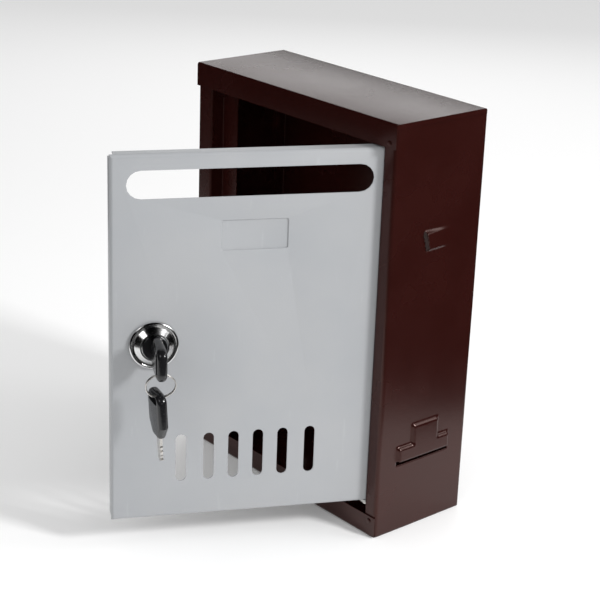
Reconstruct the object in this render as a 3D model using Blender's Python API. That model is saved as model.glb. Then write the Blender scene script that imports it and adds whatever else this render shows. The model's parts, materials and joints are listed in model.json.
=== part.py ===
"""A wall-mounted letterbox of folded sheet steel, with a pivoted door, a cam lock and its two keys.

Metres, +Z up. The origin is the centre of the back face, on the wall. The door stands open at rest.
"""

import math

import bmesh
import bpy
from mathutils import Matrix, Vector

# Housing, over everything but the door
WIDTH = 0.213
DEPTH = 0.084
HEIGHT = 0.300
SHEET = 0.0007  # wall thickness of every housing sheet
BEND = 0.0018  # outer radius of a housing bend
GAP = 0.0003  # between pieces that touch
BEND_STEPS = 4
PAST = 0.002  # how far a cutter runs past the face that it enters by

# Front frame
FASCIA = 0.0169  # height of the cap's front
RAIL = 0.0156  # height of the bottom tray's front
LEFT_JAMB = 0.0162
RIGHT_JAMB = 0.0116
LIP_DEPTH = 0.0115  # how far the strike stands behind the left jamb's face
STRIKE = 0.0165  # width of the strike that the door and the cam close on
CAP_LIP = 0.0035  # the cap's turned-down sides
INNER_FLANGE = 0.010  # spot-welded flanges inside the housing

# Pressings of the right side, along Y from the front and Z from the bottom
TONGUE_START = 0.031
TONGUE_LENGTH = 0.028
TONGUE_BOTTOM = 0.2075
TONGUE_HEIGHT = 0.015
TONGUE_RISE = 0.0036
POCKET_START = 0.0178
POCKET_LENGTH = 0.0500
POCKET_BOTTOM = 0.0545
POCKET_STEP = 0.0115  # height of the wide lower part
POCKET_CROWN = 0.0145  # height of the narrower part above it
POCKET_CROWN_START = 0.0135
POCKET_CROWN_LENGTH = 0.0255
POCKET_RISE = 0.0034

# Keyhole slots in the back
KEYHOLE_SPACING = 0.140
KEYHOLE_BELOW_TOP = 0.040
KEYHOLE_HEAD_R = 0.0045
KEYHOLE_NECK_R = 0.0024
KEYHOLE_TRAVEL = 0.009
STEADY_HOLE_R = 0.0025
STEADY_HOLE_ABOVE_BOTTOM = 0.040

# Door
DOOR_SHEET = 0.0008
DOOR_BEND = 0.0025
DOOR_PAN = 0.0100  # depth of the pan, face to flange edge
DOOR_SIDE_GAP = 0.0008
DOOR_TOP_GAP = 0.0011
DOOR_BOTTOM_GAP = 0.0092
DOOR_OPEN_DEG = 63.0
CORNER_NOTCH = 0.0028
SLOT_LENGTH = 0.1626
SLOT_HEIGHT = 0.0190
SLOT_BELOW_TOP = 0.0200  # door top to slot centre
VENT_WIDTH = 0.0073
VENT_HEIGHT = 0.0348
VENT_ABOVE_BOTTOM = 0.0439  # door bottom to vent centre
VENT_OFFSETS = (-0.0446, -0.0256, -0.0085, 0.0085, 0.0256, 0.0446)  # from the door's centre line
LABEL_WIDTH = 0.0445
LABEL_HEIGHT = 0.0206
LABEL_BELOW_TOP = 0.0558
LABEL_OFFSET = 0.0028
LABEL_PRESS = 0.0008
LABEL_CORNER = 0.0015

# Hinge
HINGE_SETBACK = 0.0040  # axis behind the door's face
HINGE_INSET = 0.0028  # axis from the door's right edge
PIN_R = 0.0016
PIN_CLEARANCE = 0.0001
BRACKET_PLATE = 0.0012
BRACKET_REACH = 0.0075  # ear past the axis
BRACKET_LEAF_WIDTH = 0.0090
BRACKET_LEAF_HEIGHT = 0.0130
EAR_DEPTH = 0.0095
SPACER_R = 0.0036
UPPER_RIVET_DROP = 0.0134
LOWER_RIVET_LIFT = 0.0122
RIVET_HEAD_R = 0.0017
RIVET_SHANK_R = 0.0011
RIVET_HEAD = 0.0006
RIVET_INSET = 0.0052  # from the opening's edge
HINGE_WASHER_THICK = 0.0006
PIN_HEAD_R = 0.0026
PIN_HEAD = 0.0008
PIN_BEYOND_FLANGE = 0.0024

# Cam lock, along its own axis from the door's outer face
LOCK_INSET = 0.0284  # from the door's left edge
LOCK_ABOVE_MIDDLE = 0.0026
BEZEL_R = 0.0166
BEZEL_RIM = 0.0026
BEZEL_CROWN = 0.0050
HEAD_R = 0.0090
HEAD_FRONT = 0.0057
BARREL_R = 0.0080
BARREL_FLAT = 0.0068
BARREL_BACK = 0.0125
PLUG_HEAD_R = 0.0082
PLUG_FRONT = 0.0060
PLUG_SEAT = 0.0020  # thickness of the plug's head
PLUG_R = 0.0055
KEYWAY_WIDTH = 0.0026
KEYWAY_HEIGHT = 0.0066
TANG = 0.0060
CAM_PLATE = 0.0020
CAM_WIDTH = 0.0120
CAM_REACH = 0.0220
NUT_ACROSS = 0.0220
NUT_THICK = 0.0030
SCREW_R = 0.0017
SCREW_HEAD_R = 0.0034
SCREW_HEAD = 0.0020
SCREW_DEPTH = 0.0040
WASHER_R = 0.0045
WASHER_THICK = 0.0008

# Keys and ring
BOW_LENGTH = 0.0325
BOW_WIDTH = 0.0230
BOW_THICK = 0.0068
BOW_NECK = 0.0100
BOW_TAPER = 0.0090
BOW_EDGE = 0.0012
BOW_CORNER = 0.0066
HOLE_LENGTH = 0.0160
HOLE_WIDTH = 0.0054
HOLE_FROM_END = 0.0052
BLADE_LENGTH = 0.0180
BLADE_HEIGHT = 0.0058
BLADE_THICK = 0.0019
BLADE_ROOT = 0.0120
BLADE_CHAMFER = 0.0012
BLADE_NOSE = 0.0022
KEY_CUTS = ((0.0054, 0.0008), (0.0086, 0.0013), (0.0115, 0.0006), (0.0144, 0.0011))  # place, depth
KEY_CUT_FLAT = 0.0014
KEY_CUT_SLOPE = 0.0007
KEY_STANDOFF = 0.0020
RING_R = 0.0097  # to the middle of the wire
WIRE_R = 0.00068
RING_TILT_DEG = 18.0
SPARE_ROUND_RING_DEG = 11.0
SPARE_YAW_DEG = 11.0

# Derived places
FRONT = -DEPTH
TOP = HEIGHT / 2
BOTTOM = -HEIGHT / 2
LAP = SHEET + GAP
WALL_X = WIDTH / 2 - LAP  # outer face of a side wall
JAMB_FACE = FRONT + LAP
WALL_TOP = TOP - BEND  # walls end below the cap's bends
OPENING_LEFT = LEFT_JAMB - WIDTH / 2
OPENING_RIGHT = WIDTH / 2 - RIGHT_JAMB
DOOR_LEFT = OPENING_LEFT + DOOR_SIDE_GAP
DOOR_RIGHT = OPENING_RIGHT - DOOR_SIDE_GAP
DOOR_WIDTH = DOOR_RIGHT - DOOR_LEFT
DOOR_TOP = TOP - FASCIA - DOOR_TOP_GAP
DOOR_BOTTOM = BOTTOM + RAIL + DOOR_BOTTOM_GAP
HINGE_X = DOOR_RIGHT - HINGE_INSET
HINGE_Y = JAMB_FACE + HINGE_SETBACK
RIVET_X = OPENING_RIGHT + RIVET_INSET
PLUG_BACK = BARREL_BACK + GAP
CAM_BACK = PLUG_BACK + GAP + CAM_PLATE
KEYWAY_DEPTH = BLADE_LENGTH - KEY_STANDOFF + GAP


def clear_scene():
    for obj in list(bpy.data.objects):
        bpy.data.objects.remove(obj, do_unlink=True)


def material(name, colour, roughness, metallic=0.0):
    made = bpy.data.materials.new(name)
    made.use_nodes = True
    shader = made.node_tree.nodes["Principled BSDF"]
    shader.inputs["Base Color"].default_value = (*colour, 1.0)
    shader.inputs["Roughness"].default_value = roughness
    shader.inputs["Metallic"].default_value = metallic
    return made


def add_object(name, bm, finish=None, parent=None, smooth_deg=None):
    mesh = bpy.data.meshes.new(name)
    bmesh.ops.recalc_face_normals(bm, faces=bm.faces)
    bm.to_mesh(mesh)
    bm.free()
    if smooth_deg is not None:
        mesh.shade_smooth()
        mesh.set_sharp_from_angle(angle=math.radians(smooth_deg))
    obj = bpy.data.objects.new(name, mesh)
    bpy.context.scene.collection.objects.link(obj)
    if finish:
        mesh.materials.append(finish)
    obj.parent = parent
    return obj


def add_axis(name, location, parent=None, rotation=(0.0, 0.0, 0.0)):
    empty = bpy.data.objects.new(name, None)
    empty.empty_display_size = 0.01
    empty.location = location
    empty.rotation_euler = rotation
    empty.parent = parent
    bpy.context.scene.collection.objects.link(empty)
    return empty


def combine(target, tool, operation):
    """Cuts or joins tool, which then only guides: it is hidden and stays out of the build."""
    tool.hide_render = True
    tool.display_type = "WIRE"
    modifier = target.modifiers.new(f"{operation.title()} {tool.name}", "BOOLEAN")
    modifier.operation = operation
    modifier.object = tool
    modifier.solver = "EXACT"


def cut(target, tool):
    combine(target, tool, "DIFFERENCE")


def join(target, tool):
    combine(target, tool, "UNION")


def box(low, high):
    bm = bmesh.new()
    bmesh.ops.create_cube(bm, size=1.0)
    low, high = Vector(low), Vector(high)
    bmesh.ops.scale(bm, vec=high - low, verts=bm.verts)
    bmesh.ops.translate(bm, vec=(low + high) / 2, verts=bm.verts)
    return bm


def place(axis, flat, along):
    """A point of an outline in the plane across an axis, and its place along that axis."""
    a, b = flat
    return {"X": (along, a, b), "Y": (a, along, b), "Z": (a, b, along)}[axis]


def prism(outline, axis, start, end):
    bm = bmesh.new()
    face = bm.faces.new([bm.verts.new(place(axis, point, start)) for point in outline])
    made = bmesh.ops.extrude_face_region(bm, geom=[face])
    moved = [item for item in made["geom"] if isinstance(item, bmesh.types.BMVert)]
    shift = Vector(place(axis, (0.0, 0.0), end - start))
    bmesh.ops.translate(bm, vec=shift, verts=moved)
    return bm


def arc(centre, radius, start_deg, end_deg, steps):
    return [
        (
            centre[0] + radius * math.cos(math.radians(start_deg + (end_deg - start_deg) * i / steps)),
            centre[1] + radius * math.sin(math.radians(start_deg + (end_deg - start_deg) * i / steps)),
        )
        for i in range(steps + 1)
    ]


def stadium(length, height, steps=8):
    """A slot's outline with round ends, along its first axis."""
    r = height / 2
    half = length / 2 - r
    return arc((half, 0.0), r, -90, 90, steps) + arc((-half, 0.0), r, 90, 270, steps)


def moved(outline, a, b):
    return [(p + a, q + b) for p, q in outline]


def turned(outline):
    return [(q, p) for p, q in outline]


def bent_sheet(path, thickness, radius, steps=BEND_STEPS):
    """The closed outline of a folded sheet. path is its outer side, with the metal on the left of it."""
    outer, inner = [], []
    for i, (x, y) in enumerate(path):
        here = Vector((x, y))
        before = (here - Vector(path[i - 1])).normalized() if i else None
        after = (Vector(path[i + 1]) - here).normalized() if i + 1 < len(path) else None
        if before is None or after is None:
            run = before or after
            side = Vector((-run.y, run.x))
            outer.append(tuple(here))
            inner.append(tuple(here + side * thickness))
            continue
        left_turn = before.x * after.y - before.y * after.x > 0
        sign = 1.0 if left_turn else -1.0
        # the metal lies inside a left turn and outside a right one
        out_r, in_r = (radius, radius - thickness) if left_turn else (radius - thickness, radius)
        half = math.acos(max(-1.0, min(1.0, before.dot(after)))) / 2
        reach = out_r * math.tan(half)
        start = here - before * reach
        centre = start + Vector((-before.y, before.x)) * sign * out_r
        spoke = start - centre
        for k in range(steps + 1):
            turn = Matrix.Rotation(sign * 2 * half * k / steps, 2)
            aim = turn @ spoke.normalized()
            outer.append(tuple(centre + aim * out_r))
            inner.append(tuple(centre + aim * in_r))
    return outer + inner[::-1]


def lathe(profile, segments=40):
    """Turns (radius, along) points round the Y axis. The points run round the closed section."""
    bm = bmesh.new()
    rings = []
    for step in range(segments):
        angle = 2 * math.pi * step / segments
        ring = [bm.verts.new((r * math.cos(angle), y, r * math.sin(angle))) for r, y in profile]
        rings.append(ring)
    count = len(profile)
    for step in range(segments):
        near, far = rings[step], rings[(step + 1) % segments]
        for k in range(count):
            bm.faces.new((near[k], far[k], far[(k + 1) % count], near[(k + 1) % count]))
    bmesh.ops.remove_doubles(bm, verts=bm.verts, dist=1e-7)
    return bm


def disc(radius, start, end, axis="Y", centre=(0.0, 0.0), steps=32):
    ring = moved(arc((0.0, 0.0), radius, 0, 360 - 360 / steps, steps - 1), *centre)
    return prism(ring, axis, start, end)


# Housing -------------------------------------------------------------------------------------


def clear_floor(side, sign):
    """Ends the jamb above the floor sheet, while the wall outside it runs on down."""
    x = sorted((0.0, sign * (WALL_X - SHEET)))
    y = (FRONT, JAMB_FACE + LIP_DEPTH + 2 * SHEET)
    foot = box((x[0], y[0], BOTTOM - PAST), (x[1], y[1], BOTTOM + BEND + GAP))
    cut(side, add_object(f"jamb_foot_{sign}", foot))


def build_left_side(paint):
    strike_y = JAMB_FACE + LIP_DEPTH
    outline = bent_sheet(
        [
            (OPENING_LEFT + STRIKE, strike_y),
            (OPENING_LEFT, strike_y),
            (OPENING_LEFT, JAMB_FACE),
            (-WALL_X, JAMB_FACE),
            (-WALL_X, 0.0),
        ][::-1],
        SHEET,
        BEND,
    )
    side = add_object("left_side", prism(outline, "Z", BOTTOM + GAP, WALL_TOP), paint, smooth_deg=50)
    clear_floor(side, -1)
    return side


def louvre(start, end, bottom, top, rise, wall, tail):
    """A wedge that stands out of the right wall, highest along one edge. tail is where it dies out."""
    bm = bmesh.new()
    inner = wall - 3 * SHEET
    corners = [(start, bottom), (end, bottom), (end, top), (start, top)]
    rises = {"back": (rise, 0.0, 0.0, rise), "up": (rise, rise, 0.25 * rise, 0.25 * rise)}[tail]
    low = [bm.verts.new((inner, y, z)) for y, z in corners]
    high = [bm.verts.new((wall + r, y, z)) for (y, z), r in zip(corners, rises)]
    bm.faces.new(low)
    bm.faces.new(high)
    for k in range(4):
        m = (k + 1) % 4
        bm.faces.new((low[k], low[m], high[m], high[k]))
    return bm


def build_right_side(paint):
    outline = bent_sheet(
        [(WALL_X, 0.0), (WALL_X, JAMB_FACE), (OPENING_RIGHT, JAMB_FACE)][::-1],
        SHEET,
        BEND,
    )
    side = add_object("right_side", prism(outline, "Z", BOTTOM + GAP, WALL_TOP), paint, smooth_deg=50)
    clear_floor(side, 1)
    y0 = FRONT + TONGUE_START
    y1 = y0 + TONGUE_LENGTH
    z0 = BOTTOM + TONGUE_BOTTOM
    z1 = z0 + TONGUE_HEIGHT
    join(side, add_object("tongue_form", louvre(y0, y1, z0, z1, TONGUE_RISE, WALL_X, "back")))
    inner = louvre(
        y0 - SHEET,
        y1 - 2 * SHEET,
        z0 + SHEET,
        z1 - SHEET,
        TONGUE_RISE - SHEET,
        WALL_X,
        "back",
    )
    bmesh.ops.translate(inner, vec=(-SHEET / 4, 0, 0), verts=inner.verts)
    cut(side, add_object("tongue_hollow", inner))

    y0 = FRONT + POCKET_START
    y1 = y0 + POCKET_LENGTH
    z0 = BOTTOM + POCKET_BOTTOM
    z1 = z0 + POCKET_STEP
    z2 = z1 + POCKET_CROWN
    c0 = y0 + POCKET_CROWN_START
    c1 = c0 + POCKET_CROWN_LENGTH
    slope = 0.75 * POCKET_RISE / (z2 - z0)

    def hat(shrink, drop, below):
        """The pocket's two-step outline, leaning out towards its open lower edge."""
        back = WALL_X - 3 * SHEET
        ring = [
            (y0 + shrink, z0 - below),
            (y1 - shrink, z0 - below),
            (y1 - shrink, z1 - shrink),
            (c1 - shrink, z1 - shrink),
            (c1 - shrink, z2 - shrink),
            (c0 + shrink, z2 - shrink),
            (c0 + shrink, z1 - shrink),
            (y0 + shrink, z1 - shrink),
        ]
        bm = bmesh.new()
        low = [bm.verts.new((back, y, z)) for y, z in ring]
        high = [bm.verts.new((WALL_X + POCKET_RISE - slope * (z - z0) - drop, y, z)) for y, z in ring]
        bm.faces.new(low)
        bm.faces.new(high)
        for k in range(len(ring)):
            m = (k + 1) % len(ring)
            bm.faces.new((low[k], low[m], high[m], high[k]))
        return bm

    join(side, add_object("pocket_form", hat(0.0, 0.0, 0.0)))
    cut(side, add_object("pocket_hollow", hat(SHEET, SHEET, SHEET)))
    return side


def build_back(paint):
    """The back panel, with flanges folded forward inside the side walls."""
    side_x = WALL_X - LAP
    flange = bent_sheet(
        [(side_x, -INNER_FLANGE), (side_x, 0.0), (-side_x, 0.0), (-side_x, -INNER_FLANGE)],
        SHEET,
        BEND,
    )
    back = add_object("back_panel", prism(flange, "Z", BOTTOM + LAP, WALL_TOP), paint, smooth_deg=50)
    through = (-SHEET - PAST, PAST)
    for sign in (-1, 1):
        x = sign * KEYHOLE_SPACING / 2
        z = TOP - KEYHOLE_BELOW_TOP
        neck = turned(stadium(KEYHOLE_TRAVEL + 2 * KEYHOLE_NECK_R, 2 * KEYHOLE_NECK_R))
        neck = moved(neck, x, z + KEYHOLE_TRAVEL / 2)
        cut(back, add_object(f"keyhole_neck_{sign}", prism(neck, "Y", *through)))
        head = disc(KEYHOLE_HEAD_R, *through, centre=(x, z), steps=24)
        cut(back, add_object(f"keyhole_head_{sign}", head))
        steady_z = BOTTOM + STEADY_HOLE_ABOVE_BOTTOM
        steady = disc(STEADY_HOLE_R, *through, centre=(x, steady_z), steps=20)
        cut(back, add_object(f"steady_hole_{sign}", steady))
    return back


def build_cap(paint):
    """The top, with the fascia at its front, short lips at its sides and a flange inside the back."""
    profile = bent_sheet(
        [
            (-LAP, TOP - INNER_FLANGE),
            (-LAP, TOP),
            (FRONT, TOP),
            (FRONT, TOP - FASCIA),
        ],
        SHEET,
        BEND,
    )
    inside = WALL_X - 2 * LAP - BEND
    cap = add_object("top_cap", prism(profile, "X", -WIDTH / 2, WIDTH / 2), paint, smooth_deg=50)
    for sign in (-1, 1):
        x = sorted((sign * WIDTH / 2, sign * (WIDTH / 2 - SHEET)))
        lip = box((x[0], FRONT + SHEET / 2, TOP - CAP_LIP), (x[1], -LAP - SHEET / 2, TOP - SHEET / 2))
        join(cap, add_object(f"cap_lip_{sign}", lip))
        x = sorted((sign * inside, sign * WIDTH))
        relief = box((x[0], -LAP - BEND, TOP - 2 * INNER_FLANGE), (x[1], PAST, TOP - CAP_LIP))
        cut(cap, add_object(f"cap_flange_end_{sign}", relief))
        x = sorted((sign * inside, sign * (WALL_X + GAP)))
        relief = box((x[0], -LAP - BEND, TOP - 2 * CAP_LIP), (x[1], PAST, TOP - SHEET))
        cut(cap, add_object(f"cap_corner_{sign}", relief))
    return cap


def build_tray(paint):
    """The floor, with the bottom rail at its front and flanges inside the sides and the back."""
    inside = WALL_X - 2 * LAP
    profile = bent_sheet(
        [
            (FRONT, BOTTOM + RAIL),
            (FRONT, BOTTOM),
            (-2 * LAP, BOTTOM),
            (-2 * LAP, BOTTOM + INNER_FLANGE),
        ],
        SHEET,
        BEND,
    )
    tray = add_object("bottom_tray", prism(profile, "X", -WALL_X, WALL_X), paint, smooth_deg=50)
    for sign in (-1, 1):
        x = sorted((sign * inside, sign * WIDTH))
        end = box((x[0], JAMB_FACE - GAP, BOTTOM - PAST), (x[1], PAST, BOTTOM + 2 * RAIL))
        cut(tray, add_object(f"tray_end_{sign}", end))
        x = sorted((sign * (inside - BEND), sign * WIDTH))
        corner = box((x[0], -2 * LAP - 2 * BEND, BOTTOM - PAST), (x[1], PAST, BOTTOM + 2 * RAIL))
        cut(tray, add_object(f"tray_corner_{sign}", corner))
        x = sorted((sign * inside, sign * (inside - SHEET)))
        flange = box(
            (x[0], JAMB_FACE + 2 * BEND, BOTTOM + SHEET / 2),
            (x[1], -2 * LAP - 2 * BEND, BOTTOM + INNER_FLANGE),
        )
        join(tray, add_object(f"tray_flange_{sign}", flange))
    return tray


# Hinge ---------------------------------------------------------------------------------------


def rivet(name, x, z, back, finish):
    """A domed rivet through the front frame, from its outer face to the back of what it holds."""
    dome = [(RIVET_HEAD_R * math.cos(a), -GAP - RIVET_HEAD * math.sin(a)) for a in (0.0, 0.5, 1.0)]
    tail = 0.9 * RIVET_HEAD_R
    profile = [
        (0.0, -GAP - RIVET_HEAD),
        *dome[::-1],
        (RIVET_SHANK_R, -GAP),
        (RIVET_SHANK_R, back + GAP),
        (tail, back + GAP),
        (tail, back + GAP + RIVET_HEAD),
        (0.0, back + GAP + RIVET_HEAD),
    ]
    bm = lathe(profile, 16)
    bmesh.ops.translate(bm, vec=(x, FRONT, z), verts=bm.verts)
    return add_object(name, bm, finish, smooth_deg=50)


def bracket(name, ear_z, leaf_way, zinc):
    """A riveted angle: a leaf behind the jamb and an ear that carries the pivot. leaf_way is +1 up."""
    leaf_y = JAMB_FACE + LAP
    wall = WALL_X - SHEET - 2 * GAP
    half = leaf_way * BRACKET_PLATE / 2
    ear = box(
        (HINGE_X - BRACKET_REACH, leaf_y, ear_z - BRACKET_PLATE / 2),
        (wall, leaf_y + EAR_DEPTH, ear_z + BRACKET_PLATE / 2),
    )
    body = add_object(name, ear, zinc)
    z = sorted((ear_z - half, ear_z + leaf_way * BRACKET_LEAF_HEIGHT))
    leaf = box((wall - BRACKET_LEAF_WIDTH, leaf_y, z[0]), (wall, leaf_y + BRACKET_PLATE, z[1]))
    join(body, add_object(f"{name}_leaf", leaf))
    return body


def build_hinge(zinc, steel):
    """Two pins on one vertical line, each riveted in a bracket and standing in a flange of the door."""
    back = 2 * LAP + BRACKET_PLATE
    for name, flange_z, way in (("upper", DOOR_TOP, 1), ("lower", DOOR_BOTTOM, -1)):
        near = flange_z + way * GAP
        ear_z = near + way * (HINGE_WASHER_THICK + GAP + BRACKET_PLATE / 2)
        body = bracket(f"{name}_hinge_bracket", ear_z, way, zinc)
        pivot = (HINGE_X, HINGE_Y)
        hole = disc(PIN_R + PIN_CLEARANCE, ear_z - PAST, ear_z + PAST, "Z", pivot, 24)
        cut(body, add_object(f"{name}_ear_hole", hole))
        rivet_z = TOP - UPPER_RIVET_DROP if way > 0 else BOTTOM + LOWER_RIVET_LIFT
        place_of_rivet = (RIVET_X, rivet_z)
        through = disc(RIVET_SHANK_R + GAP, FRONT - PAST, FRONT + 3 * PAST, "Y", place_of_rivet, 16)
        for held in ("right_side", "top_cap" if way > 0 else "bottom_tray"):
            cut(bpy.data.objects[held], add_object(f"{name}_rivet_hole_{held}", through.copy()))
        cut(body, add_object(f"{name}_rivet_hole_leaf", through))
        rivet(f"{name}_bracket_rivet", RIVET_X, rivet_z, back, steel)
        inner = flange_z - way * PIN_BEYOND_FLANGE
        head = ear_z + way * (BRACKET_PLATE / 2 + GAP)
        profile = [
            (0.0, inner),
            (PIN_R * 0.7, inner),
            (PIN_R, inner + way * PIN_R * 0.3),
            (PIN_R, head),
            (PIN_HEAD_R, head),
            (PIN_HEAD_R, head + way * PIN_HEAD),
            (0.0, head + way * PIN_HEAD),
        ]
        bm = lathe(profile, 24)
        bmesh.ops.rotate(bm, matrix=Matrix.Rotation(math.pi / 2, 3, "X"), verts=bm.verts)
        bmesh.ops.translate(bm, vec=(HINGE_X, HINGE_Y, 0.0), verts=bm.verts)
        add_object(f"{name}_hinge_pin", bm, steel, smooth_deg=50)
        ring = lathe(
            [
                (PIN_R + PIN_CLEARANCE, near),
                (SPACER_R, near),
                (SPACER_R, near + way * HINGE_WASHER_THICK),
                (PIN_R + PIN_CLEARANCE, near + way * HINGE_WASHER_THICK),
            ],
            24,
        )
        bmesh.ops.rotate(ring, matrix=Matrix.Rotation(math.pi / 2, 3, "X"), verts=ring.verts)
        bmesh.ops.translate(ring, vec=(HINGE_X, HINGE_Y, 0.0), verts=ring.verts)
        add_object(f"{name}_hinge_washer", ring, zinc, smooth_deg=50)


# Door, in its own frame: the hinge axis is the origin, the face looks along -Y when shut --------


def rounded_pan(left, right, bottom, top, face, back, radius):
    """A block whose front edges are rounded."""
    bm = box((left, face, bottom), (right, back, top))
    front = [e for e in bm.edges if all(abs(v.co.y - face) < 1e-6 for v in e.verts)]
    bmesh.ops.bevel(
        bm,
        geom=front,
        offset=radius,
        offset_type="OFFSET",
        segments=BEND_STEPS,
        profile=0.5,
        affect="EDGES",
        clamp_overlap=True,
        material=-1,
    )
    return bm


def build_door(enamel, axis):
    left, right = DOOR_LEFT - HINGE_X, DOOR_RIGHT - HINGE_X
    face, back = -HINGE_SETBACK, DOOR_PAN - HINGE_SETBACK
    pan = rounded_pan(left, right, DOOR_BOTTOM, DOOR_TOP, face, back, DOOR_BEND)
    door = add_object("door_panel", pan, enamel, axis, smooth_deg=40)
    t = DOOR_SHEET
    hollow = rounded_pan(
        left + t, right - t, DOOR_BOTTOM + t, DOOR_TOP - t, face + t, back + PAST, DOOR_BEND - t
    )
    cut(door, add_object("door_hollow", hollow, None, axis))
    n = CORNER_NOTCH
    for x0, x1 in ((left - n, left + n), (right - n, right + n)):
        for z0, z1 in ((DOOR_BOTTOM - n, DOOR_BOTTOM + n), (DOOR_TOP - n, DOOR_TOP + n)):
            notch = box((x0, face + DOOR_BEND + GAP, z0), (x1, back + n, z1))
            cut(door, add_object("corner_notch", notch, None, axis))
    middle = (left + right) / 2
    through = (face - PAST, face + t + PAST)
    slot = moved(stadium(SLOT_LENGTH, SLOT_HEIGHT), middle, DOOR_TOP - SLOT_BELOW_TOP)
    cut(door, add_object("letter_slot", prism(slot, "Y", *through), None, axis))
    for offset in VENT_OFFSETS:
        vent = turned(stadium(VENT_HEIGHT, VENT_WIDTH, 6))
        vent = moved(vent, middle + offset, DOOR_BOTTOM + VENT_ABOVE_BOTTOM)
        cut(door, add_object("vent", prism(vent, "Y", *through), None, axis))
    lock_hole = flatted(BARREL_R + GAP, BARREL_FLAT + GAP)
    lock_hole = moved(lock_hole, left + LOCK_INSET, LOCK_ABOVE_MIDDLE)
    cut(door, add_object("lock_hole", prism(lock_hole, "Y", *through), None, axis))
    for z in (DOOR_TOP, DOOR_BOTTOM):
        pivot = disc(PIN_R + PIN_CLEARANCE, z - PAST, z + PAST, "Z", (0.0, 0.0), 24)
        cut(door, add_object("pivot_hole", pivot, None, axis))
    label_x, label_z = middle + LABEL_OFFSET, DOOR_TOP - LABEL_BELOW_TOP
    outer = label_block(LABEL_WIDTH + 2 * t, LABEL_HEIGHT + 2 * t, face + t / 2, face + t + LABEL_PRESS)
    inner = label_block(LABEL_WIDTH, LABEL_HEIGHT, face - PAST, face + LABEL_PRESS)
    for block in (outer, inner):
        bmesh.ops.translate(block, vec=(label_x, 0.0, label_z), verts=block.verts)
    join(door, add_object("label_back", outer, None, axis))
    cut(door, add_object("label_recess", inner, None, axis))
    return door


def label_block(width, height, front, back):
    return prism(stadium_box(width, height, LABEL_CORNER), "Y", front, back)


def stadium_box(width, height, r):
    """A rectangle with rounded corners."""
    a, b = width / 2 - r, height / 2 - r
    return (
        arc((a, -b), r, -90, 0, 3) + arc((a, b), r, 0, 90, 3) + arc((-a, b), r, 90, 180, 3)
        + arc((-a, -b), r, 180, 270, 3)
    )


def flatted(radius, flat):
    """A round outline with two flats, above and below."""
    lean = math.degrees(math.asin(flat / radius))
    return arc((0.0, 0.0), radius, -lean, lean, 8) + arc((0.0, 0.0), radius, 180 - lean, 180 + lean, 8)


# Lock, in its own frame: the origin is on the door's outer face, -Y points out ----------------


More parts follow.
